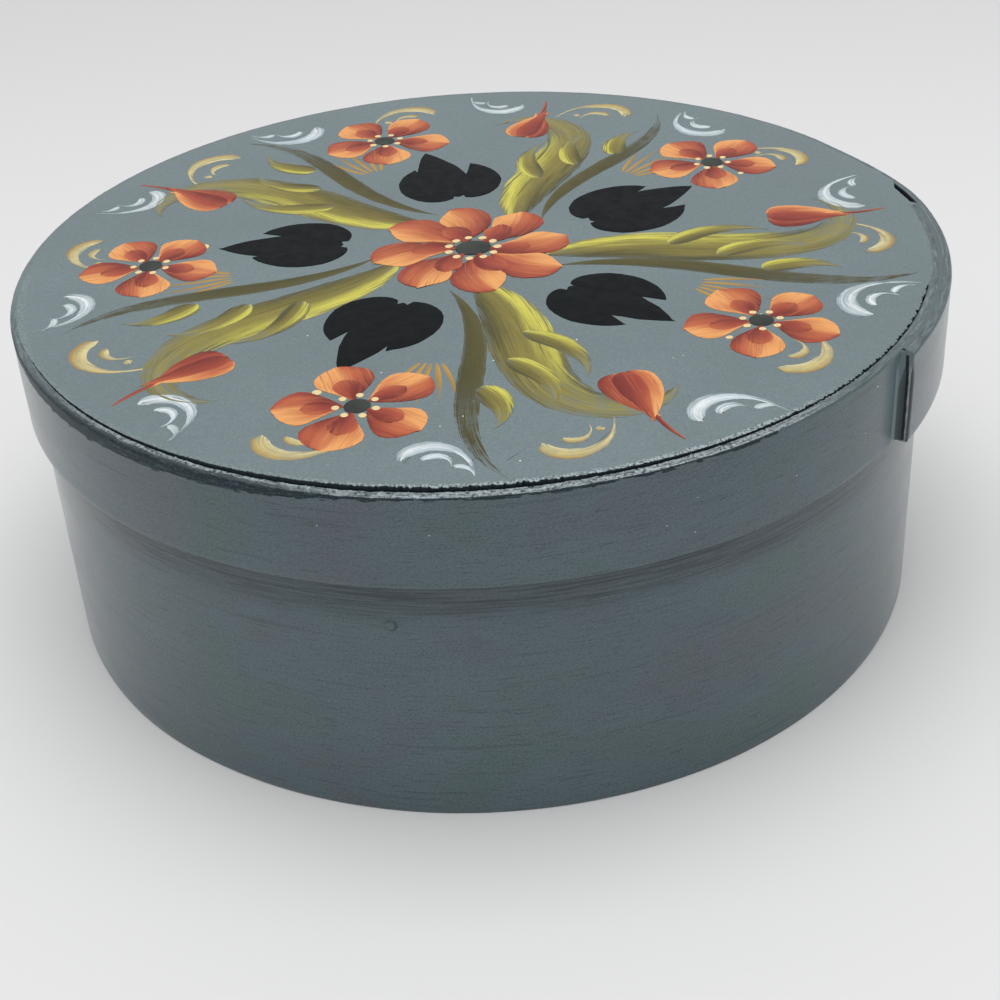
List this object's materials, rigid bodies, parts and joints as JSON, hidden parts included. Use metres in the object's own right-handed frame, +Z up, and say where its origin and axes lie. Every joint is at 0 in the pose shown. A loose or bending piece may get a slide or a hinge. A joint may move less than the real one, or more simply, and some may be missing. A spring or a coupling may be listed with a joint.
{
  "type": "round bentwood box",
  "caption": "Round painted bentwood box: a bent band with a let-in bottom board, and a lift-off lid whose band has a plain lapped joint.",
  "frame": {"origin": "centre of the underside of the bottom board, on the axis of the box", "axes": "+Z up, out of the lid; +X to the right and +Y away from the viewer, so the lid's lapped joint is at the right, on the side of +X"},
  "size_m": [0.2532, 0.25, 0.0952],
  "materials": {
    "body_band": "bent softwood strip, satin slate-blue paint outside, bare wood inside",
    "bottom_board": "bare wood above, slate-blue paint below",
    "lid_band": "bent softwood strip, satin slate-blue paint outside, bare wood inside",
    "lid_board": "satin grey-blue paint with painted flowers and scrolls above, bare wood below",
    "pegs": "bare split wood pegs",
    "decoration": "brushed oil colours: orange, brick red, olive, yellow, black and white strokes on the lid board"
  },
  "bodies": {
    "box": {"body_band": "body_band", "bottom_board": "bottom_board", "bottom_pegs": "pegs"},
    "lid": {"lid_band": "lid_band", "lid_board": "lid_board", "lid_pegs": "pegs"}
  },
  "joints": [
    {"name": "lid_lift", "type": "slide", "parent": "box", "child": "lid", "axis": [0, 0, 1], "range_m": [0, 0.08]}
  ]
}
